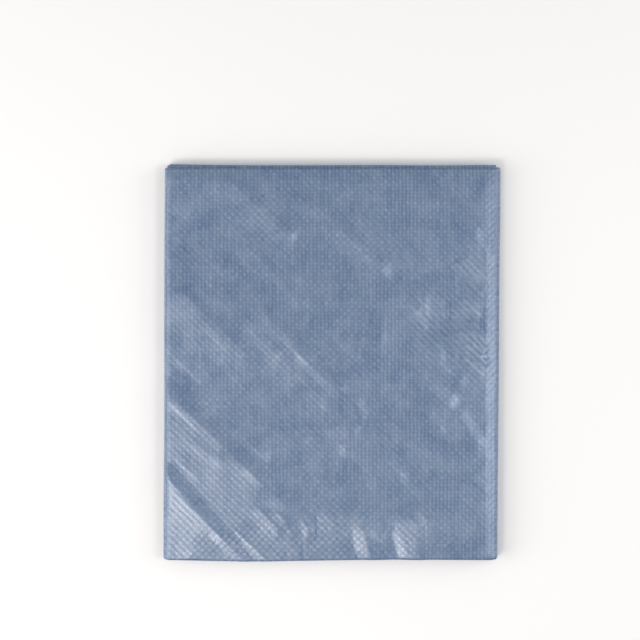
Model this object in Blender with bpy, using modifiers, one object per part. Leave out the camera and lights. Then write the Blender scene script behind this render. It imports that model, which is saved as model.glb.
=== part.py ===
"""A window air conditioner cover of silver woven polyethylene cloth, folded flat for storage.

The cover is a five-sided box of thin cloth. It is pressed flat, folded in thirds along its length, and the
three plies are folded together in thirds across their width. The nine plies lie back and forth on each other.

Units are metres and +Z is up. X runs across the folded cover and Y along it. It lies on Z = 0, centred on
the Z axis.
Run with: blender --background --python part.py
"""

import math
from collections import namedtuple

import bmesh
import bpy

# Driving dimensions, in metres.
FOLDED_WIDTH = 0.225  # across, X
FOLDED_LENGTH = 0.264  # along, Y
CLOTH_THICKNESS = 0.0011  # one ply: the walls of the flattened cover, pressed together
PLY_PITCH = 0.00155  # from the middle of one ply to the middle of the next
PLIES = 3  # plies that the first fold makes, and stacks of them that the second makes

# How far each free edge stays short of the fold that it lies over or under.
TOP_STACK_SHORT = 0.0026  # right edge of the uppermost stack
FLOOR_STACK_SHORT = 0.0018  # left edge of the lowest stack
TOP_PLY_SHORT = 0.0022  # far edge of each stack's last ply
FLOOR_PLY_SHORT = 0.0012  # near edge of each stack's first ply

# How loosely the cloth lies.
CROWN = 0.02  # the middle of the folded cover is this share thicker than PLY_PITCH makes it
EDGE_SQUEEZE = 0.10  # and its pressed edges are this share thinner
LOOSE_HEIGHT = 0.0017  # the uppermost ply stands this much further off the one under it
LOOSE_MARGIN = 0.020  # and comes down to it over this distance from the edges
BILLOW = 0.0004  # its slow waves, up and down
BILLOW_LENGTHS = (0.120, 0.095)  # from one wave to the next, along X and Y

# Steps of the mesh along each ply or stack, from the floor up, and round each fold. The uppermost shows.
PLY_STEPS = (5, 5, 34)
STACK_STEPS = (5, 5, 29)
PLY_FOLD_STEPS = 4
STACK_FOLD_STEPS = 7

SILVER_BLUE = (0.262, 0.323, 0.432, 1.0)  # linear colour of the silver laminate
NODE_NAME = "folded_cover"

# Sizes that follow from those.
PLY_FOLD_RADIUS = PLY_PITCH / 2
STACK_PITCH = PLY_PITCH * PLIES
STACK_FOLD_RADIUS = STACK_PITCH / 2
HALF_WIDTH = FOLDED_WIDTH / 2
HALF_LENGTH = FOLDED_LENGTH / 2
HALF_CLOTH = CLOTH_THICKNESS / 2
HALF_STACK = PLY_PITCH * (PLIES - 1) / 2  # from a stack's middle to the middle of its outer plies
PLY_NOSE = PLY_FOLD_RADIUS + HALF_CLOTH  # how far a fold of one ply reaches past its centre
STACK_NOSE = STACK_FOLD_RADIUS + HALF_STACK + HALF_CLOTH  # the same for a fold of three
TOP_PLY_HEIGHT = HALF_CLOTH + PLY_PITCH * (PLIES * PLIES - 1)

Run = namedtuple("Run", "start end")
Station = namedtuple("Station", "along height normal_along normal_height level")
Crease = namedtuple("Crease", "x y end_x end_y half_width rise")
Drift = namedtuple("Drift", "along turn")

# Where each ply of a stack runs along Y, from the floor up.
PLY_RUNS = (
    Run(-HALF_LENGTH + FLOOR_PLY_SHORT, HALF_LENGTH - PLY_NOSE),
    Run(HALF_LENGTH - PLY_NOSE, -HALF_LENGTH + PLY_NOSE),
    Run(-HALF_LENGTH + PLY_NOSE, HALF_LENGTH - TOP_PLY_SHORT),
)
# Where each stack runs along X, from the floor up.
STACK_RUNS = (
    Run(-HALF_WIDTH + FLOOR_STACK_SHORT, HALF_WIDTH - STACK_NOSE),
    Run(HALF_WIDTH - STACK_NOSE, -HALF_WIDTH + STACK_NOSE),
    Run(-HALF_WIDTH + STACK_NOSE, HALF_WIDTH - TOP_STACK_SHORT),
)
# How each stack has slipped along Y and turned, clockwise from above and in radians, from the floor up.
STACK_DRIFTS = (
    Drift(0.0004, 0.0085),
    Drift(-0.0005, 0.0070),
    Drift(0.0, 0.0),
)
# Soft creases of the uppermost ply: start, end, half width, and the rise of a ridge or fall of a trough.
CREASES = (
    Crease(-0.114, -0.088, -0.058, -0.133, 0.0060, -0.0015),
    Crease(-0.078, -0.072, -0.036, -0.128, 0.0065, 0.0008),
    Crease(0.014, -0.108, 0.023, -0.131, 0.0060, 0.0007),
    Crease(0.044, -0.104, 0.048, -0.131, 0.0060, 0.0009),
    Crease(0.058, -0.133, 0.062, 0.066, 0.0055, -0.0014),
    Crease(0.066, 0.029, 0.104, 0.026, 0.0060, 0.0009),
    Crease(0.084, 0.068, 0.104, 0.048, 0.0055, -0.0009),
    Crease(0.080, 0.024, 0.106, -0.001, 0.0055, -0.0009),
    Crease(-0.112, 0.036, -0.030, 0.130, 0.0070, -0.0010),
    Crease(-0.050, 0.040, 0.012, -0.034, 0.0070, -0.0011),
    Crease(-0.008, 0.128, 0.030, 0.070, 0.0070, 0.0008),
)


def clear_scene():
    for thing in list(bpy.data.objects):
        bpy.data.objects.remove(thing, do_unlink=True)


def back_and_forth(runs, radius, run_steps, fold_steps):
    """Stations along a back-and-forth section, a run and then the fold up to the next one.

    The normal points up on the first run, turns with the cloth and points down on the second.
    """
    stations = []
    for level, (run, steps) in enumerate(zip(runs, run_steps)):
        way = math.copysign(1, run.end - run.start)
        height = 2 * radius * level
        for step in range(steps + 1):
            along = run.start + (run.end - run.start) * step / steps
            stations.append(Station(along, height, 0.0, way, level))
        if level + 1 == len(runs):
            continue
        for step in range(1, fold_steps):
            angle = math.pi * step / fold_steps
            stations.append(
                Station(
                    run.end + way * radius * math.sin(angle),
                    height + radius * (1 - math.cos(angle)),
                    -math.sin(angle),
                    way * math.cos(angle),
                    level + step / fold_steps,
                )
            )
    return stations


def smooth(value):
    """0 below 0, 1 above 1, and a smooth step between."""
    value = min(max(value, 0.0), 1.0)
    return value * value * (3 - 2 * value)


def edge_distance(x, y):
    return min(HALF_WIDTH - abs(x), HALF_LENGTH - abs(y))


def fullness(x, y):
    """How thick the stack is here, as a share of its plain thickness."""
    across = math.cos(math.pi * x / FOLDED_WIDTH) * math.cos(math.pi * y / FOLDED_LENGTH)
    return 1 - EDGE_SQUEEZE + (EDGE_SQUEEZE + CROWN) * max(across, 0.0) ** 0.5


def crease_rise(crease, x, y):
    """How far one crease lifts the cloth here: most along its line, fading to its sides and past its ends."""
    run_x, run_y = crease.end_x - crease.x, crease.end_y - crease.y
    length = math.hypot(run_x, run_y)
    along = ((x - crease.x) * run_x + (y - crease.y) * run_y) / length
    aside = ((x - crease.x) * run_y - (y - crease.y) * run_x) / length
    past_end = max(-along, along - length, 0.0)
    off_line = math.hypot(aside, past_end) / crease.half_width
    return crease.rise * math.exp(-(off_line**2))


def billow(x, y):
    """The slow waves of cloth that lies loose."""
    length_x, length_y = BILLOW_LENGTHS
    return BILLOW * math.sin(math.tau * x / length_x + 1) * math.cos(math.tau * (y - x / 2) / length_y)


def looseness(x, y):
    """How much further the uppermost ply stands off the one under it."""
    off = LOOSE_HEIGHT + billow(x, y) + sum(crease_rise(crease, x, y) for crease in CREASES)
    return max(off, 0.0) * smooth(edge_distance(x, y) / LOOSE_MARGIN)


def drifted(x, y, level):
    """Where a point of a stack lies once the stack has slipped and turned. Folds turn from one to the next."""
    lower = STACK_DRIFTS[math.floor(level)]
    upper = STACK_DRIFTS[math.ceil(level)]
    part_way = smooth(level - math.floor(level))
    along = lower.along + (upper.along - lower.along) * part_way
    turn = lower.turn + (upper.turn - lower.turn) * part_way
    return x + y * turn, y + along - x * turn


def folded_point(stack, ply):
    """Where the cloth lies at one station of the stacks' section and one of the plies' section."""
    off_middle = ply.height - HALF_STACK
    x, y = drifted(stack.along + stack.normal_along * off_middle, ply.along, stack.level)
    above_floor_ply = HALF_STACK + stack.height + stack.normal_height * off_middle
    z = HALF_CLOTH + above_floor_ply * fullness(x, y)
    if HALF_CLOTH + above_floor_ply > TOP_PLY_HEIGHT - HALF_CLOTH:
        z += looseness(x, y)
    return x, y, z


def centre_on_z(sheet):
    """Moves the sheet sideways until its outline is centred on the Z axis."""
    across = [vertex.co.x for vertex in sheet.verts]
    along = [vertex.co.y for vertex in sheet.verts]
    middle = ((min(across) + max(across)) / 2, (min(along) + max(along)) / 2, 0.0)
    bmesh.ops.translate(sheet, verts=sheet.verts, vec=[-distance for distance in middle])


def folded_sheet():
    """The cloth as one open surface: a grid whose lines follow the two sections."""
    plies = back_and_forth(PLY_RUNS, PLY_FOLD_RADIUS, PLY_STEPS, PLY_FOLD_STEPS)
    stacks = back_and_forth(STACK_RUNS, STACK_FOLD_RADIUS, STACK_STEPS, STACK_FOLD_STEPS)
    sheet = bmesh.new()
    bmesh.ops.create_grid(sheet, x_segments=len(stacks) - 1, y_segments=len(plies) - 1, size=0.5)
    for number, vertex in enumerate(sheet.verts):
        row, column = divmod(number, len(stacks))
        vertex.co = folded_point(stacks[column], plies[row])
    centre_on_z(sheet)
    mesh = bpy.data.meshes.new(NODE_NAME)
    sheet.to_mesh(mesh)
    sheet.free()
    return mesh


def silver_cloth():
    """Woven polyethylene tape with a silver laminate."""
    material = bpy.data.materials.new("silver_woven_polyethylene")
    material.use_nodes = True
    shader = material.node_tree.nodes["Principled BSDF"]
    shader.inputs["Base Color"].default_value = SILVER_BLUE
    shader.inputs["Roughness"].default_value = 0.45
    shader.inputs["Metallic"].default_value = 0.25
    return material


def folded_cover():
    mesh = folded_sheet()
    mesh.shade_smooth()
    mesh.materials.append(silver_cloth())
    cover = bpy.data.objects.new(NODE_NAME, mesh)
    thickness = cover.modifiers.new("cloth_thickness", "SOLIDIFY")
    thickness.thickness = CLOTH_THICKNESS
    thickness.offset = 0.0
    thickness.use_even_offset = True
    return cover


def main():
    clear_scene()
    collection = bpy.data.collections.new("air_conditioner_cover")
    bpy.context.scene.collection.children.link(collection)
    collection.objects.link(folded_cover())


main()
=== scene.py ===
"""The looks of a window air conditioner cover, folded flat for storage.

The cover is a bag of silver woven polyethylene. Both of its walls are one thin sheet here. The sheet is laid
out flat, folded back and forth along the folds of the solid, and creased where it lies uppermost.

Units are metres and +Z is up. X runs across the folded cover and Y along it.
"""

import math
import random
from collections import namedtuple

import bmesh
import bpy
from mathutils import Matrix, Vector, noise


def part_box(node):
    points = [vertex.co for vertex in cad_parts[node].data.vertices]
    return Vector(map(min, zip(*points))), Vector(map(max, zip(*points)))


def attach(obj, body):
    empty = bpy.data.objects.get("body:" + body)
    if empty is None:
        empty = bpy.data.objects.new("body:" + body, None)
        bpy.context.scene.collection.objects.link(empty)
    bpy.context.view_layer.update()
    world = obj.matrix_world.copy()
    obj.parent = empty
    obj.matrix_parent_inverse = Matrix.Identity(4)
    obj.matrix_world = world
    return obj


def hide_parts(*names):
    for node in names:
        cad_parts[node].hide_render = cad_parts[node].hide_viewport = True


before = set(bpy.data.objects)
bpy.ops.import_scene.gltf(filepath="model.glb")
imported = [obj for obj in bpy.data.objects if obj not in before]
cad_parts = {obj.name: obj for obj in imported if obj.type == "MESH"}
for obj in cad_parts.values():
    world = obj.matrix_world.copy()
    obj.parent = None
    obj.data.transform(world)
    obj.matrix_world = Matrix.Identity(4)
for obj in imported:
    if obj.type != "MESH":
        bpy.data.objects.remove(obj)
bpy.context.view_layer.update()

# The folded solid, as the CAD gives it.
FOLDED_WIDTH = 0.225  # across, X
FOLDED_LENGTH = 0.264  # along, Y
PLY_THICKNESS = 0.0011  # one ply is both walls of the bag
PLY_PITCH = 0.00155  # from the middle of one ply to the middle of the next
PLIES = 3  # plies in a stack, and stacks
TOP_STACK_SHORT = 0.0026  # how far each free edge stays short of the fold by it
FLOOR_STACK_SHORT = 0.0018
TOP_PLY_SHORT = 0.0022
FLOOR_PLY_SHORT = 0.0012
CROWN = 0.02  # the middle is this share thicker than PLY_PITCH makes it
EDGE_SQUEEZE = 0.10  # and the pressed edges are this share thinner

# The cloth. Tapes of about 2.4 mm are usual for covers.
WALL_THICKNESS = 0.0003
TAPE_ACROSS = 0.00248  # from one lengthwise tape to the next, across the cover
TAPE_ALONG = 0.00238  # from one crosswise tape to the next, along the cover

# Sizes that follow from those.
PLY_FOLD_RADIUS = PLY_PITCH / 2
STACK_FOLD_RADIUS = PLY_PITCH * PLIES / 2
HALF_WIDTH = FOLDED_WIDTH / 2
HALF_LENGTH = FOLDED_LENGTH / 2
HALF_PLY = PLY_THICKNESS / 2
HALF_STACK = PLY_PITCH * (PLIES - 1) / 2
WALL_OFF_MIDDLE = (PLY_THICKNESS - WALL_THICKNESS) / 2
PLY_NOSE = PLY_FOLD_RADIUS + HALF_PLY  # how far a fold of one ply reaches past its centre
STACK_NOSE = STACK_FOLD_RADIUS + HALF_STACK + HALF_PLY  # the same for a fold of three
TOP_PLY_ABOVE = PLY_PITCH * (PLIES * PLIES - 1)  # the uppermost ply's middle above the lowest one's

Run = namedtuple("Run", "start end")
Station = namedtuple("Station", "along height normal_along normal_height level")
Drift = namedtuple("Drift", "along turn")
Place = namedtuple("Place", "left right near far")
Crease = namedtuple("Crease", "points left_width right_width rise")
Patch = namedtuple("Patch", "x y reach_x reach_y strength")
Lamp = namedtuple("Lamp", "name turn lean distance size power colour")

PLY_RUNS = (
    Run(-HALF_LENGTH + FLOOR_PLY_SHORT, HALF_LENGTH - PLY_NOSE),
    Run(HALF_LENGTH - PLY_NOSE, -HALF_LENGTH + PLY_NOSE),
    Run(-HALF_LENGTH + PLY_NOSE, HALF_LENGTH - TOP_PLY_SHORT),
)
STACK_RUNS = (
    Run(-HALF_WIDTH + FLOOR_STACK_SHORT, HALF_WIDTH - STACK_NOSE),
    Run(HALF_WIDTH - STACK_NOSE, -HALF_WIDTH + STACK_NOSE),
    Run(-HALF_WIDTH + STACK_NOSE, HALF_WIDTH - TOP_STACK_SHORT),
)
STACK_DRIFTS = (Drift(0.0004, 0.0085), Drift(-0.0005, 0.0070), Drift(0.0, 0.0))
# Small slips of the cloth, sideways and up or down, and how far off the next one is, sideways and up.
SLIP = 0.0003
SLIP_UP = 0.00012
SLIP_LENGTH = 0.05
SLIP_HEIGHT = 2 * PLY_PITCH
SLIP_SEED = 1  # the noise of the slips starts from the clock without one
# The near folds bulge out here, by the strength in metres.
NEAR_BULGE = Patch(-0.045, -0.132, 0.090, 0.030, 0.0010)

# Steps of the sheet along each run from the floor up, and round each fold.
PLY_STEPS = (8, 8, 30)
STACK_STEPS = (8, 8, 26)
PLY_FOLD_STEPS = 8
STACK_FOLD_STEPS = 12
EDGE_STEPS = (0.15, 0.5, 1.0)  # lines round a closed edge, as shares of its radius
# More lines between two of the uppermost wall's, and between those where the finest creases are.
UPPERMOST_CUTS = 4
FINE_CUTS = 1
WHOLE_COVER = Place(-HALF_WIDTH, HALF_WIDTH, -HALF_LENGTH, HALF_LENGTH)
FINE_PLACES = (Place(-0.112, 0.066, -0.134, -0.099), Place(0.052, 0.111, -0.012, 0.072))
CUT_SIDES = 1 / 3  # sides of a face shorter than this share of its longest stay whole

# How loosely the uppermost ply lies over the one under it.
LOOSE_HEIGHT = 0.0013
RIGHT_MARGIN = 0.0068  # it comes down to it over these distances from its free edges
FAR_MARGIN = 0.012
BILLOW = 0.0004  # its slow waves, up and down
BILLOW_LENGTHS = (0.120, 0.095)  # from one wave to the next, along X and Y
CREASE_REACH = 2.2  # where a crease ends, in widths of its side
CREASE_HOLLOW = 1.5  # its sides are straight at 1, and hollow above that
CREST_RADIUS = 0.0009  # how sharp the top of a ridge is, and the bottom of a trough
SHARP_WIDTH = 0.0016  # creases narrower than this get a painted highlight along a ridge or painted shade along a trough
CREASE_PAINT_WIDTH = 0.0009  # how far that paint reaches to each side

# Creases of the uppermost ply, listed: the points of the line, how wide each side is, and the height
# of a ridge or the depth of a trough. The left side is on the left of a walk along the line.
MAIN_CREASES = (
    Crease(((-0.1110, -0.0740), (-0.0870, -0.1020), (-0.0562, -0.1350)), 0.0030, 0.0145, 0.0019),
    Crease(((-0.0810, -0.1165), (-0.0640, -0.1335)), 0.0024, 0.0055, -0.00055),
    Crease(((-0.0605, -0.1155), (-0.0425, -0.1305)), 0.0055, 0.0075, 0.0012),
    Crease(((-0.0520, -0.1210), (-0.0440, -0.1310)), 0.0022, 0.0050, 0.0004),
    Crease(((-0.0460, -0.1010), (-0.0360, -0.1130)), 0.0025, 0.0040, 0.0005),
    Crease(((0.0125, -0.1130), (0.0150, -0.1260), (0.0200, -0.1345)), 0.0080, 0.0060, -0.0012),
    Crease(((0.0215, -0.1130), (0.0251, -0.1259), (0.0278, -0.1345)), 0.0070, 0.0080, 0.0018),
    Crease(((0.0395, -0.1135), (0.0445, -0.1345)), 0.0090, 0.0140, -0.0016),
    Crease(((0.0440, -0.1130), (0.0525, -0.1335)), 0.0060, 0.0040, 0.0002),
    Crease(((0.0586, -0.1085), (0.0586, -0.1345)), 0.0020, 0.0150, 0.0017),
    Crease(((0.0700, 0.0290), (0.0915, 0.0283)), 0.0080, 0.0060, -0.0006),
    Crease(((0.0560, 0.0620), (0.0980, 0.0560)), 0.0080, 0.0080, -0.0006),
    Crease(((0.0540, -0.0060), (0.0800, -0.0300), (0.0960, -0.0520)), 0.0030, 0.0110, 0.0009),
    Crease(((-0.1090, -0.0180), (-0.0640, -0.0640), (-0.0300, -0.0960)), 0.0035, 0.0160, 0.0013),
    Crease(((-0.0980, 0.0460), (-0.0560, 0.0060)), 0.0030, 0.0110, 0.0013),
    Crease(((-0.0420, 0.0320), (-0.0120, -0.0040), (0.0160, -0.0280)), 0.0030, 0.0120, 0.0014),
    Crease(((-0.0720, 0.1260), (-0.0280, 0.0860)), 0.0035, 0.0110, 0.0017),
    Crease(((-0.0080, 0.1060), (0.0330, 0.0640)), 0.0030, 0.0100, 0.0014),
    Crease(((0.0060, -0.0420), (0.0440, -0.0760)), 0.0030, 0.0120, 0.0009),
    Crease(((0.0560, 0.1260), (0.0960, 0.0900)), 0.0030, 0.0100, 0.0013),
    Crease(((-0.1060, 0.0860), (-0.0780, 0.1140)), 0.0040, 0.0090, -0.0006),
    Crease(((-0.0300, -0.0640), (0.0040, -0.0360)), 0.0030, 0.0100, -0.0006),
    Crease(((-0.0600, 0.0760), (-0.0180, 0.0560)), 0.0050, 0.0050, 0.0005),
    Crease(((0.0340, 0.0420), (0.0300, -0.0060)), 0.0030, 0.0080, 0.0005),
)
FINE_CREASES = (
    Crease(((-0.0940, -0.1262), (-0.0790, -0.1195)), 0.0040, 0.0045, 0.0003),
    Crease(((-0.0345, -0.1020), (-0.0265, -0.1125)), 0.0018, 0.0045, 0.0007),
    Crease(((-0.0210, -0.1010), (-0.0150, -0.1120)), 0.0018, 0.0055, 0.0008),
    Crease(((0.0020, -0.1040), (0.0070, -0.1160)), 0.0020, 0.0050, 0.0005),
    Crease(((-0.0198, -0.1124), (-0.0198, -0.1333)), 0.0012, 0.0012, -0.00012),
    Crease(((-0.0106, -0.1029), (-0.0106, -0.1160)), 0.0012, 0.0012, -0.00012),
    Crease(
        ((0.0251, -0.1151), (0.0319, -0.1198), (0.0353, -0.1144), (0.0385, -0.1110)), 0.0014, 0.0014, 0.0003
    ),
    Crease(((0.0869, 0.0672), (0.1004, 0.0503)), 0.0013, 0.0016, 0.0006),
    Crease(((0.0833, 0.0650), (0.0985, 0.0465)), 0.0013, 0.0016, 0.0005),
    Crease(((0.0900, 0.0690), (0.1010, 0.0560)), 0.0013, 0.0016, 0.0004),
    Crease(((0.0825, 0.0651), (0.0825, 0.0483)), 0.0013, 0.0013, 0.0003),
    Crease(((0.0763, 0.0415), (0.0763, 0.0294)), 0.0012, 0.0012, -0.00015),
    Crease(((0.0790, 0.0415), (0.0790, 0.0294)), 0.0012, 0.0012, -0.00015),
    Crease(((0.0627, 0.0435), (0.0627, 0.0341)), 0.0013, 0.0013, 0.0003),
    Crease(((0.0575, 0.0435), (0.0602, 0.0381), (0.0572, 0.0334), (0.0616, 0.0246)), 0.0012, 0.0014, 0.0004),
    Crease(((0.0704, 0.0125), (0.0731, 0.0071), (0.0724, 0.0006), (0.0764, -0.0057)), 0.0012, 0.0014, 0.0004),
    Crease(((0.0859, 0.0199), (0.1004, 0.0071)), 0.0014, 0.0018, 0.0007),
    Crease(((0.0926, 0.0199), (0.1021, 0.0084)), 0.0014, 0.0018, 0.0005),
    Crease(((0.0896, 0.0105), (0.1021, 0.0003)), 0.0014, 0.0018, 0.0007),
    Crease(((0.0890, 0.0020), (0.0980, -0.0070)), 0.0014, 0.0018, 0.0005),
    Crease(((0.0880, 0.0410), (0.0960, 0.0330)), 0.0014, 0.0018, 0.0005),
    Crease(((0.0989, 0.0361), (0.0989, 0.0219)), 0.0012, 0.0012, -0.00015),
    Crease(((0.1014, 0.0361), (0.1014, 0.0219)), 0.0012, 0.0012, -0.00015),
)
# Smaller creases, most of them at a slant: how many, and what they are drawn from.
SCATTERED_CREASES = 95
SCATTER_SEED = 11
SCATTER_ACROSS = (-0.9 * HALF_WIDTH, 0.9 * HALF_WIDTH)
SCATTER_ALONG = (-0.085, 0.95 * HALF_LENGTH)  # nearer than that there are only the listed creases
SCATTER_SLANTS = (-45, -45, -45, -50, -38, 60, 90, 20)  # in degrees, as is the sway
SCATTER_SWAY = 8
SCATTER_BEND = 0.2  # in radians, half of the turn in the middle
SCATTER_LENGTHS = (0.010, 0.034)
SCATTER_WIDTHS = (0.0016, 0.0030)
SCATTER_RISES = (0.00008, 0.00040)
SCATTER_SIGNS = (1, 1, -1)  # ridges and troughs

# What is added to the weave's relief where the cloth isn't pressed so flat, or taken off where it is flatter.
# The relief also lightens the colour there, as painted light.
PATCHES = (
    Patch(-0.095, -0.120, 0.075, 0.050, 0.38),
    Patch(-0.050, -0.120, 0.045, 0.032, 1.05),
    Patch(0.000, -0.114, 0.032, 0.030, 0.95),
    Patch(0.019, -0.122, 0.012, 0.022, 0.40),
    Patch(0.049, -0.120, 0.015, 0.026, 0.40),
    Patch(0.082, -0.118, 0.026, 0.030, -0.04),
    Patch(0.080, 0.030, 0.065, 0.085, 0.14),
    Patch(0.0945, 0.0610, 0.016, 0.014, 0.60),
    Patch(0.0945, 0.0060, 0.018, 0.022, 0.70),
    Patch(0.0920, 0.0340, 0.012, 0.009, 0.45),
    Patch(0.0596, 0.0270, 0.014, 0.026, 0.45),
    Patch(-0.080, -0.040, 0.040, 0.030, 0.30),
    Patch(-0.020, 0.000, 0.045, 0.030, 0.30),
    Patch(-0.050, 0.095, 0.040, 0.030, 0.30),
    Patch(0.025, 0.080, 0.035, 0.030, 0.25),
)
PRESSED_WEAVE = 0.36  # the relief without those
RELIEF_WAVER = 0.25  # how uneven it is, and over what distance
RELIEF_WAVER_LENGTH = 0.03
RISING_SHARE = 0.30  # how much of it is in lines that rise to the right; the others fall
RISING_WAVER = 0.30
RIGHT_BAND = 0.1034  # right of this nearly all of them rise
RIGHT_BAND_RISING = 0.9
RISING_PATCHES = (
    Patch(0.080, 0.030, 0.065, 0.085, -0.35),
    Patch(0.002, -0.112, 0.060, 0.030, 0.12),
    Patch(-0.095, -0.120, 0.040, 0.040, 0.15),
)

# How the weave shows. Lengths are in metres on the flat cloth.
WAVER = 0.0011  # how far the tapes stray from straight, and over what distance
WAVER_LENGTH = 0.007
GRAIN_LENGTH = 0.0009  # the film's grain is finer, and is drawn as coarse as it needs to show
MOTTLE_LENGTH = 0.018
TAPE_TONE_CHANGES = (310.0, 63.0, 0.0)  # how often the tapes' own tone changes in a metre, across and along
STREAK_CHANGES = (0.22, 0.11)  # how fast the streaks change over their width and length, in a radian of weave
STREAK_NOISE = (0.36, 0.64)  # the range of noise that they are made from
STREAK_LIFT = (0.1, 1.75)  # and how much they leave of the weave's relief
FALLING_CROWN = -1.35  # how high the crossings in falling lines are at a relief of 1, on a wave turned over
PRESSED_CROWN = -0.10  # and what is added to that, also where there is no relief
RISING_CROWN = 1.3  # how high those in rising lines are
LENGTHWISE_GAP = -0.12  # how deep the gaps between tapes are
CROSSWISE_GAP = -0.08
WEAVE_HEIGHT = 0.00003  # what 1 is in those five
PRESSED_BELOW = 0.66  # where there is less relief than this, the gaps get painted shade as lines

# How light the cloth is, from its dark colour at 0 to its light one at 1, and what each thing adds to that.
DARK_LAMINATE = "#335986"
LIGHT_LAMINATE = "#A1AFC3"
BASE_TONE = 0.324
# The crossings' tones are painted highlights, for the light that the raised crossings catch.
CROWN_HIGHLIGHT_TONE = 0.085
RISING_CROWN_HIGHLIGHT_TONE = 0.10
# The gaps' tones are painted shade in the grooves between the tapes.
PRESSED_GAP_SHADE_TONE = -0.27
CROSSWISE_GAP_SHADE_TONE = -0.035
# Painted light: the cloth is lighter where the weave stands out.
RELIEF_LIGHT_TONE = 0.12
GRAIN_TONE = 0.55
MOTTLE_TONE = 0.36
CROSSING_TONE = 0.12
TAPE_TONE = 0.20
# Painted shade in the tight folds of the plies, where their noses turn away from the light.
PAINTED_FOLD_SHADE_TONE = -0.34
# Painted highlights along the sharp ridges and painted shade along the sharp troughs.
CREASE_HIGHLIGHT_SHADE_TONE = 0.22
MOTTLE_NOISE = (0.3, 0.7)  # over this range of the mottling
LAMINATE_ROUGHNESS = (0.29, 0.38)  # the roughness goes over this one

FLOOR_REACH = 2.0  # from its middle to its sides

# The view from straight above. The lens and the sensor are in millimetres.
CAMERA_PLACE = (-0.0083, 0.0282, 1.0219)
CAMERA_LENS = 85
CAMERA_SENSOR = 36

# The lamps: how far each is turned from +X and leans off the vertical, in degrees, then its distance, side,
# power and colour.
LAMPS = (
    Lamp("left_panel", 190, 58, 1.2, 0.9, 6.0, "#FFFFFF"),
    Lamp("right_panel", 10, 62, 1.2, 0.7, 3.0, "#FFFFFF"),
    Lamp("left_key", 222, 32, 1.4, 0.35, 5.1, "#FFF3E4"),
    Lamp("right_key", -8, 31, 1.4, 0.40, 3.0, "#FFFFFF"),
)
ROOM_LIGHT = 0.44


def run_length(run):
    return abs(run.end - run.start)


def station_at(runs, radius, travelled):
    """Where the cloth lies on a back-and-forth section after this distance along it, and its normal there."""
    for level, run in enumerate(runs):
        way = math.copysign(1, run.end - run.start)
        height = 2 * radius * level
        if travelled <= run_length(run) or level + 1 == len(runs):
            return Station(run.start + way * travelled, height, 0.0, way, level)
        travelled -= run_length(run)
        if travelled < math.pi * radius:
            angle = travelled / radius
            return Station(
                run.end + way * radius * math.sin(angle),
                height + radius * (1 - math.cos(angle)),
                -math.sin(angle),
                way * math.cos(angle),
                level + angle / math.pi,
            )
        travelled -= math.pi * radius


def sheet_lines(runs, radius, run_steps, fold_steps, closed_ends):
    """How far along the flat cloth the sheet's lines lie, for one direction of it."""
    lines = []
    travelled = 0.0
    for level, (run, steps) in enumerate(zip(runs, run_steps)):
        length = run_length(run)
        lines += [travelled + length * step / steps for step in range(steps + 1)]
        travelled += length
        if level + 1 < len(runs):
            fold = math.pi * radius
            lines += [travelled + fold * step / fold_steps for step in range(1, fold_steps)]
            travelled += fold
    rounding = [WALL_OFF_MIDDLE * step for step in EDGE_STEPS]
    lines += rounding
    if closed_ends == 2:
        lines += [travelled - distance for distance in rounding]
    return sorted(lines)


def share(value):
    """The value, held between 0 and 1."""
    return min(max(value, 0.0), 1.0)


def smooth(value):
    """0 below 0, 1 above 1, and a smooth step between."""
    value = share(value)
    return value * value * (3 - 2 * value)


def fullness(x, y):
    """How thick the stack is here, as a share of its plain thickness."""
    across = math.cos(math.pi * x / FOLDED_WIDTH) * math.cos(math.pi * y / FOLDED_LENGTH)
    return 1 - EDGE_SQUEEZE + (EDGE_SQUEEZE + CROWN) * max(across, 0.0) ** 0.5


def crease_reach(crease):
    """The box outside which a crease lifts nothing."""
    reach = CREASE_REACH * (max(crease.left_width, crease.right_width) + CREST_RADIUS)
    across = [x for x, _ in crease.points]
    along = [y for _, y in crease.points]
    return Place(min(across) - reach, max(across) + reach, min(along) - reach, max(along) + reach)


def off_crease(crease, x, y):
    """How far off the line of a crease this place is, and how much it is to its right, from 0 to 1."""
    least_off, to_right = math.inf, 0.0
    for (start_x, start_y), (end_x, end_y) in zip(crease.points, crease.points[1:]):
        run_x, run_y = end_x - start_x, end_y - start_y
        length = math.hypot(run_x, run_y)
        along = ((x - start_x) * run_x + (y - start_y) * run_y) / length
        aside = ((x - start_x) * run_y - (y - start_y) * run_x) / length
        off_line = math.hypot(aside, max(-along, along - length, 0.0))
        if off_line < least_off:
            least_off = off_line
            to_right = smooth(0.5 + 0.5 * aside / max(off_line, CREST_RADIUS))
    return least_off, to_right


def crease_rise(crease, x, y):
    """How far one crease lifts the cloth here: most along its line, fading to its sides and past its ends."""
    off_line, to_right = off_crease(crease, x, y)
    steepness = (1 - to_right) / crease.left_width + to_right / crease.right_width
    off_crest = math.hypot(off_line, CREST_RADIUS) - CREST_RADIUS
    return crease.rise * share(1 - off_crest * steepness / CREASE_REACH) ** CREASE_HOLLOW


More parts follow.
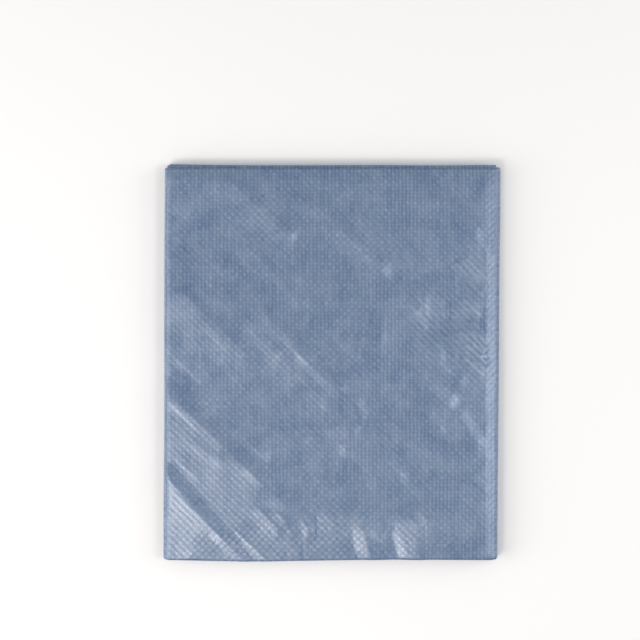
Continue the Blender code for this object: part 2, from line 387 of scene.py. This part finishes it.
def scattered_creases():
    """Small creases of the uppermost ply, beyond the near strip. Most slant down to the right."""
    draw = random.Random(SCATTER_SEED)
    creases = []
    for _ in range(SCATTERED_CREASES):
        x = draw.uniform(*SCATTER_ACROSS)
        y = draw.uniform(*SCATTER_ALONG)
        angle = math.radians(draw.choice(SCATTER_SLANTS) + draw.uniform(-SCATTER_SWAY, SCATTER_SWAY))
        bend = draw.uniform(-SCATTER_BEND, SCATTER_BEND)
        half = draw.uniform(*SCATTER_LENGTHS) / 2
        width = draw.uniform(*SCATTER_WIDTHS)
        rise = draw.uniform(*SCATTER_RISES) * draw.choice(SCATTER_SIGNS)
        points = (
            (x - half * math.cos(angle - bend), y - half * math.sin(angle - bend)),
            (x, y),
            (x + half * math.cos(angle + bend), y + half * math.sin(angle + bend)),
        )
        creases.append(Crease(points, width, width, rise))
    return creases


ALL_CREASES = [
    (crease_reach(crease), crease) for crease in (*MAIN_CREASES, *FINE_CREASES, *scattered_creases())
]
SHARP_CREASES = [
    (crease_reach(crease), crease) for crease in FINE_CREASES if crease.left_width < SHARP_WIDTH
]


def is_in(place, x, y):
    return place.left < x < place.right and place.near < y < place.far


def crease_highlight_shade(x, y):
    """How much painted highlight lies along the sharp ridges here, or how much painted shade along the sharp
    troughs.
    """
    crease_paint = 0.0
    for reach, crease in SHARP_CREASES:
        if is_in(reach, x, y):
            off_line, _ = off_crease(crease, x, y)
            crease_paint += math.copysign(share(1 - off_line / CREASE_PAINT_WIDTH), crease.rise)
    return crease_paint


def looseness(x, y):
    """How much further the uppermost ply stands off the one under it."""
    length_x, length_y = BILLOW_LENGTHS
    billow = BILLOW * math.sin(math.tau * x / length_x + 1) * math.cos(math.tau * (y - x / 2) / length_y)
    off = LOOSE_HEIGHT + billow
    off += sum(crease_rise(crease, x, y) for reach, crease in ALL_CREASES if is_in(reach, x, y))
    held_right = share((STACK_RUNS[-1].end - x) / RIGHT_MARGIN)
    held_far = smooth((HALF_LENGTH - y) / FAR_MARGIN)
    return max(off, 0.0) * held_right * held_far


def patch_strength(patch, x, y):
    """What a patch adds here: most in its middle, and nothing past its reach."""
    off_middle = math.hypot((x - patch.x) / patch.reach_x, (y - patch.y) / patch.reach_y)
    return patch.strength * (1 - smooth(off_middle))


def weave_relief(x, y):
    """How far the weave stands out here. At 0 it is pressed flat."""
    relief = PRESSED_WEAVE + RELIEF_WAVER * noise.noise(Vector((x, y, 0.0)) / RELIEF_WAVER_LENGTH)
    return max(relief + sum(patch_strength(patch, x, y) for patch in PATCHES), 0.0)


def rising_share(x, y):
    """How much of that relief is in lines that rise to the right, not in lines that fall."""
    if x > RIGHT_BAND:
        return RIGHT_BAND_RISING
    rising = RISING_SHARE + RISING_WAVER * noise.noise(Vector((x, y, 1.0)) / RELIEF_WAVER_LENGTH)
    return share(rising + sum(patch_strength(patch, x, y) for patch in RISING_PATCHES))


def drifted(x, y, level):
    """Where a point of a stack lies once the stack has slipped and turned.

    A fold goes smoothly from one stack's place to the next one's.
    """
    lower = STACK_DRIFTS[math.floor(level)]
    upper = STACK_DRIFTS[math.ceil(level)]
    part_way = smooth(level - math.floor(level))
    along = lower.along + (upper.along - lower.along) * part_way
    turn = lower.turn + (upper.turn - lower.turn) * part_way
    return x + y * turn, y + along - x * turn


def folded_place(flat):
    """Where a point of the flat cloth lies once it is folded.

    The point's third number is its height off the middle of the ply.
    """
    across, along, off_ply = flat
    ply = station_at(PLY_RUNS, PLY_FOLD_RADIUS, along)
    stack = station_at(STACK_RUNS, STACK_FOLD_RADIUS, across)
    off_stack = ply.height + ply.normal_height * off_ply - HALF_STACK
    y = ply.along + ply.normal_along * off_ply
    x, y = drifted(stack.along + stack.normal_along * off_stack, y, stack.level)
    above = HALF_STACK + stack.height + stack.normal_height * off_stack
    slip = noise.noise_vector(Vector((x / SLIP_LENGTH, y / SLIP_LENGTH, above / SLIP_HEIGHT)))
    z = HALF_PLY + above
    if above > 0:
        z = HALF_PLY + above * fullness(x, y) + SLIP_UP * slip.z * smooth(above / PLY_PITCH)
    share_of_top = smooth((above - (TOP_PLY_ABOVE - PLY_PITCH)) / (PLY_PITCH - WALL_OFF_MIDDLE))
    if share_of_top > 0:
        z += looseness(x, y) * share_of_top
    return Vector((x + SLIP * slip.x, y + SLIP * slip.y, z))


def painted_fold_shade(flat):
    """How much painted shade a tight fold gets here: 1 in the fold's middle, and 0 on a flat run."""
    return abs(station_at(PLY_RUNS, PLY_FOLD_RADIUS, flat.y).normal_along)


def flat_bag():
    """The bag laid out flat: two walls that meet in round edges at both sides and at the closed end."""
    across = sheet_lines(STACK_RUNS, STACK_FOLD_RADIUS, STACK_STEPS, STACK_FOLD_STEPS, 2)
    along = sheet_lines(PLY_RUNS, PLY_FOLD_RADIUS, PLY_STEPS, PLY_FOLD_STEPS, 1)
    width, length = across[-1], along[-1]
    bag = bmesh.new()
    walls = {}
    for wall in (1, -1):
        for row, y in enumerate(along):
            for column, x in enumerate(across):
                inward = min(x, width - x, y, WALL_OFF_MIDDLE)
                if wall < 0 and inward == 0:
                    walls[wall, row, column] = walls[1, row, column]
                    continue
                off = math.sqrt(WALL_OFF_MIDDLE**2 - (WALL_OFF_MIDDLE - inward) ** 2)
                walls[wall, row, column] = bag.verts.new((x, y, wall * off))
    for wall in (1, -1):
        for row in range(len(along) - 1):
            for column in range(len(across) - 1):
                corners = [
                    walls[wall, row, column],
                    walls[wall, row, column + 1],
                    walls[wall, row + 1, column + 1],
                    walls[wall, row + 1, column],
                ]
                bag.faces.new(corners if wall > 0 else corners[::-1])
    return bag, width, length


def refine_uppermost(bag, width, length, places, cuts):
    """Adds lines to the wall that lies uppermost once the bag is folded, in these places of the cover."""
    edges = set()
    for face in bag.faces:
        middle = face.calc_center_median()
        x = STACK_RUNS[-1].end - (width - middle.x)
        y = PLY_RUNS[-1].end - (length - middle.y)
        if middle.z > WALL_OFF_MIDDLE / 2 and any(is_in(place, x, y) for place in places):
            longest = max(edge.calc_length() for edge in face.edges)
            edges.update(edge for edge in face.edges if edge.calc_length() > longest * CUT_SIDES)
    bag.edges.index_update()
    in_order = sorted(edges, key=lambda edge: edge.index)
    bmesh.ops.subdivide_edges(bag, edges=in_order, cuts=cuts, use_grid_fill=True)


def lay_out_weave(bag):
    """Keeps each corner's place on the flat cloth, in metres. The weave goes on round the closed end."""
    layer = bag.loops.layers.uv.new("flat_cloth")
    for face in bag.faces:
        wall = math.copysign(1, face.calc_center_median().z)
        for loop in face.loops:
            flat = loop.vert.co
            loop[layer].uv = (flat.x, wall * flat.y)


def fold_bag(bag):
    """Folds the flat bag, and keeps with each point what the material takes from its place."""
    relief = bag.verts.layers.float.new("weave_relief")
    rising = bag.verts.layers.float.new("rising_share")
    fold_shade_layer = bag.verts.layers.float.new("painted_fold_shade")
    crease_highlight_shade_layer = bag.verts.layers.float.new("crease_highlight_shade")
    for vertex in bag.verts:
        vertex[fold_shade_layer] = painted_fold_shade(vertex.co)
        vertex.co = folded_place(vertex.co)
        vertex[relief] = weave_relief(vertex.co.x, vertex.co.y)
        vertex[rising] = rising_share(vertex.co.x, vertex.co.y)
        vertex[crease_highlight_shade_layer] = crease_highlight_shade(vertex.co.x, vertex.co.y)


def centre_on_solid(bag):
    """Moves the folded bag sideways until its outline has its middle where the solid's is."""
    low, high = (Vector(corner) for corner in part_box("folded_cover"))
    across = [vertex.co.x for vertex in bag.verts]
    along = [vertex.co.y for vertex in bag.verts]
    middle = Vector(((min(across) + max(across)) / 2, (min(along) + max(along)) / 2, 0.0))
    solid_middle = (low + high) / 2
    shift = Vector((solid_middle.x - middle.x, solid_middle.y - middle.y, 0.0))
    bmesh.ops.translate(bag, verts=bag.verts, vec=shift)


def woven_cover_cloth():
    """The folded bag, in the place of the folded solid."""
    bag, width, length = flat_bag()
    refine_uppermost(bag, width, length, (WHOLE_COVER,), UPPERMOST_CUTS)
    refine_uppermost(bag, width, length, FINE_PLACES, FINE_CUTS)
    lay_out_weave(bag)
    fold_bag(bag)
    centre_on_solid(bag)
    for vertex in bag.verts:
        vertex.co.y -= patch_strength(NEAR_BULGE, vertex.co.x, vertex.co.y)
    mesh = bpy.data.meshes.new("woven_cover_cloth")
    bag.to_mesh(mesh)
    bag.free()
    mesh.shade_smooth()
    cloth = bpy.data.objects.new("woven_cover_cloth", mesh)
    bpy.context.scene.collection.objects.link(cloth)
    wall = cloth.modifiers.new("wall_thickness", "SOLIDIFY")
    wall.thickness = WALL_THICKNESS
    wall.offset = 0.0
    wall.use_even_offset = True
    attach(cloth, "root")
    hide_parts("folded_cover")
    return cloth, width, length


def linear(hex_colour):
    """An sRGB hex colour as the linear one that the shader takes."""
    colour = []
    for start in (1, 3, 5):
        value = int(hex_colour[start : start + 2], 16) / 255
        colour.append(value / 12.92 if value <= 0.04045 else ((value + 0.055) / 1.055) ** 2.4)
    return (*colour, 1.0)


def add_node(tree, kind, *values, **named):
    """Adds a node with its settings and links.

    Values go to its inputs in order, and capitalised names to the input of that name. Other names are its
    settings. An input takes a value, a socket, or another node's first output.
    """
    made = tree.nodes.new("ShaderNode" + kind)
    inputs = dict(enumerate(values))
    for name, value in named.items():
        if name[0].isupper():
            inputs[name] = value
        else:
            setattr(made, name, value)
    for name, value in inputs.items():
        if isinstance(value, bpy.types.Node):
            value = value.outputs[0]
        if isinstance(value, bpy.types.NodeSocket):
            tree.links.new(value, made.inputs[name])
        else:
            made.inputs[name].default_value = value
    return made


def silver_woven_polyethylene():
    """Polyethylene film slit to flat tapes, woven plain and laminated with a thin silver film.

    To the eye that is a fine check of raised crossings, which catch the light in slanting streaks: the bump
    gives part of that light, and painted highlights on the crossings the rest. Where it is pressed flat the
    gaps get painted shade as darker lines, and the cloth is painted lighter where the weave stands out. The
    laminate has a satin sheen, a little cloudy, with painted shade in the tight folds and painted highlights
    and shade along the sharp creases.
    """
    material = bpy.data.materials.new("silver_woven_polyethylene")
    material.use_nodes = True
    tree = material.node_tree
    shader = tree.nodes["Principled BSDF"]
    relief = add_node(tree, "Attribute", attribute_name="weave_relief").outputs["Fac"]
    rising_part = add_node(tree, "Attribute", attribute_name="rising_share").outputs["Fac"]
    fold_shade = add_node(tree, "Attribute", attribute_name="painted_fold_shade").outputs["Fac"]
    crease_paint = add_node(tree, "Attribute", attribute_name="crease_highlight_shade").outputs["Fac"]
    falling_part = add_node(tree, "Math", 1.0, rising_part, operation="SUBTRACT")
    flat = add_node(tree, "UVMap", uv_map="flat_cloth")

    # The tapes don't run quite straight. Half a turn of each wave is one tape.
    waver = add_node(tree, "TexNoise", Vector=flat, Scale=1 / WAVER_LENGTH, Detail=2.0).outputs["Color"]
    wavered = add_node(tree, "VectorMath", waver, (WAVER, WAVER, 0.0), flat, operation="MULTIPLY_ADD")
    parts = add_node(tree, "SeparateXYZ", wavered)
    across = add_node(tree, "Math", parts.outputs["X"], math.pi / TAPE_ACROSS, operation="MULTIPLY")
    along = add_node(tree, "Math", parts.outputs["Y"], math.pi / TAPE_ALONG, operation="MULTIPLY")
    falling = add_node(tree, "Math", across, along, operation="ADD")
    rising = add_node(tree, "Math", across, along, operation="SUBTRACT")
    falling_wave = add_node(tree, "Math", falling, operation="COSINE")
    rising_wave = add_node(tree, "Math", rising, operation="COSINE")
    twice_across = add_node(tree, "Math", across, 2.0, operation="MULTIPLY")
    twice_along = add_node(tree, "Math", along, 2.0, operation="MULTIPLY")
    lengthwise_gap = add_node(tree, "Math", twice_across, operation="COSINE")
    crosswise_gap = add_node(tree, "Math", twice_along, operation="COSINE")

    # The crossings stand out in streaks that fall to the right.
    change_over, change_along = STREAK_CHANGES
    over_streaks = add_node(tree, "Math", falling, change_over, operation="MULTIPLY")
    along_streaks = add_node(tree, "Math", rising, change_along, operation="MULTIPLY")
    streak_place = add_node(tree, "CombineXYZ", over_streaks, along_streaks)
    streaks = add_node(tree, "TexNoise", Vector=streak_place, Scale=1.0, Detail=3.0)
    streak = add_node(tree, "MapRange", streaks, *STREAK_NOISE, *STREAK_LIFT)
    lifted = add_node(tree, "Math", relief, streak, operation="MULTIPLY")
    falling_lift = add_node(tree, "Math", lifted, falling_part, operation="MULTIPLY")
    rising_lift = add_node(tree, "Math", lifted, rising_part, operation="MULTIPLY")
    falling_height = add_node(
        tree, "Math", falling_lift, FALLING_CROWN, PRESSED_CROWN, operation="MULTIPLY_ADD"
    )
    falling_crowns = add_node(tree, "Math", falling_wave, falling_height, operation="MULTIPLY")
    rising_crowns = add_node(tree, "Math", rising_wave, rising_lift, operation="MULTIPLY")
    crowns = add_node(tree, "Math", rising_crowns, RISING_CROWN, falling_crowns, operation="MULTIPLY_ADD")

    # Where it is pressed flat, the narrow gaps between the tapes get painted shade as darker lines.
    pressed = add_node(tree, "Math", PRESSED_BELOW, relief, operation="SUBTRACT", use_clamp=True)
    pressed_gap_shade = add_node(tree, "Math", lengthwise_gap, pressed, operation="MULTIPLY")

    # Each tape and each crossing has a tone of its own, and the film has a grain and is mottled.
    tape_number = add_node(tree, "Math", parts.outputs["X"], TAPE_ACROSS, operation="SNAP")
    crossing_number = add_node(tree, "Math", parts.outputs["Y"], TAPE_ALONG, operation="SNAP")
    one_tape = add_node(tree, "CombineXYZ", tape_number, parts.outputs["Y"])
    one_crossing = add_node(tree, "CombineXYZ", tape_number, crossing_number)
    stretched = add_node(tree, "VectorMath", one_tape, TAPE_TONE_CHANGES, operation="MULTIPLY")
    tape = add_node(tree, "TexNoise", Vector=stretched, Scale=1.0, Detail=1.0)
    crossing = add_node(tree, "TexWhiteNoise", Vector=one_crossing)
    grain = add_node(tree, "TexNoise", Vector=flat, Scale=1 / GRAIN_LENGTH, Detail=2.0)
    mottle = add_node(tree, "TexNoise", Vector=flat, Scale=1 / MOTTLE_LENGTH, Detail=2.0)

    # The tone starts with painted highlights on the crossings, and each of these adds to it: painted
    # highlights on the rising crossings, painted shade in the gaps, painted light where the weave stands out,
    # painted shade in the folds, and painted highlights and shade along the sharp creases. The last four
    # lighten and darken it alike.
    tone = add_node(tree, "Math", crowns, CROWN_HIGHLIGHT_TONE, BASE_TONE, operation="MULTIPLY_ADD")
    for what, strength in (
        (rising_crowns, RISING_CROWN_HIGHLIGHT_TONE),
        (pressed_gap_shade, PRESSED_GAP_SHADE_TONE),
        (crosswise_gap, CROSSWISE_GAP_SHADE_TONE),
        (relief, RELIEF_LIGHT_TONE),
        (fold_shade, PAINTED_FOLD_SHADE_TONE),
        (crease_paint, CREASE_HIGHLIGHT_SHADE_TONE),
    ):
        tone = add_node(tree, "Math", what, strength, tone, operation="MULTIPLY_ADD")
    for uneven, strength in (
        (grain, GRAIN_TONE),
        (mottle, MOTTLE_TONE),
        (crossing, CROSSING_TONE),
        (tape, TAPE_TONE),
    ):
        off_mean = add_node(tree, "Math", uneven, 0.5, operation="SUBTRACT")
        tone = add_node(tree, "Math", off_mean, strength, tone, operation="MULTIPLY_ADD")
    tone = add_node(tree, "Clamp", tone)
    colour = add_node(tree, "MixRGB", tone, linear(DARK_LAMINATE), linear(LIGHT_LAMINATE))
    tree.links.new(colour.outputs[0], shader.inputs["Base Color"])

    roughness = add_node(tree, "MapRange", mottle, *MOTTLE_NOISE, *LAMINATE_ROUGHNESS)
    tree.links.new(roughness.outputs[0], shader.inputs["Roughness"])
    height = add_node(tree, "Math", lengthwise_gap, LENGTHWISE_GAP, crowns, operation="MULTIPLY_ADD")
    height = add_node(tree, "Math", crosswise_gap, CROSSWISE_GAP, height, operation="MULTIPLY_ADD")
    bump = add_node(tree, "Bump", Height=height, Distance=WEAVE_HEIGHT, Strength=1.0)
    tree.links.new(bump.outputs[0], shader.inputs["Normal"])
    shader.inputs["Metallic"].default_value = 0.12
    shader.inputs["Specular IOR Level"].default_value = 0.9
    return material


def matt_white_board():
    """Board rolled with matt paint, just off white.

    To the eye that is an even, pale ground with soft shadows and hardly any gloss.
    """
    material = bpy.data.materials.new("matt_white_board")
    material.use_nodes = True
    shader = material.node_tree.nodes["Principled BSDF"]
    shader.inputs["Base Color"].default_value = linear("#F9F9FA")
    shader.inputs["Roughness"].default_value = 0.8
    shader.inputs["Specular IOR Level"].default_value = 0.2
    return material


def pale_floor():
    """The board that the cover lies on."""
    mesh = bpy.data.meshes.new("pale_floor")
    floor = bmesh.new()
    bmesh.ops.create_grid(floor, x_segments=1, y_segments=1, size=FLOOR_REACH)
    floor.to_mesh(mesh)
    floor.free()
    mesh.materials.append(matt_white_board())
    board = bpy.data.objects.new("pale_floor", mesh)
    bpy.context.scene.collection.objects.link(board)
    return board


def soft_light(lamp):
    """A square lamp that looks at the middle of the cover."""
    light = bpy.data.lights.new(lamp.name, "AREA")
    light.size = lamp.size
    light.energy = lamp.power
    light.color = linear(lamp.colour)[:3]
    holder = bpy.data.objects.new(lamp.name, light)
    turn, lean = math.radians(lamp.turn), math.radians(lamp.lean)
    outward = Vector((math.sin(lean) * math.cos(turn), math.sin(lean) * math.sin(turn), math.cos(lean)))
    holder.location = outward * lamp.distance
    holder.rotation_euler = (-outward).to_track_quat("-Z", "Y").to_euler()
    bpy.context.scene.collection.objects.link(holder)


def studio():
    """A white room with two large panels and two smaller lamps that bring out the creases."""
    world = bpy.data.worlds.new("soft_room")
    world.use_nodes = True
    background = world.node_tree.nodes["Background"]
    background.inputs["Color"].default_value = linear("#FFFFFF")
    background.inputs["Strength"].default_value = ROOM_LIGHT
    bpy.context.scene.world = world
    for lamp in LAMPS:
        soft_light(lamp)
    bpy.context.scene.view_settings.view_transform = "Standard"


def camera_above():
    """A camera straight above the cover, which lies a little off the middle of the view."""
    camera = bpy.data.cameras.new("camera_above")
    camera.lens = CAMERA_LENS
    camera.sensor_width = CAMERA_SENSOR
    view = bpy.data.objects.new("camera_above", camera)
    view.location = CAMERA_PLACE
    bpy.context.scene.collection.objects.link(view)
    bpy.context.scene.camera = view


noise.seed_set(SLIP_SEED)
board = pale_floor()
cloth, flat_width, flat_length = woven_cover_cloth()
cloth.data.materials.append(silver_woven_polyethylene())
studio()
camera_above()
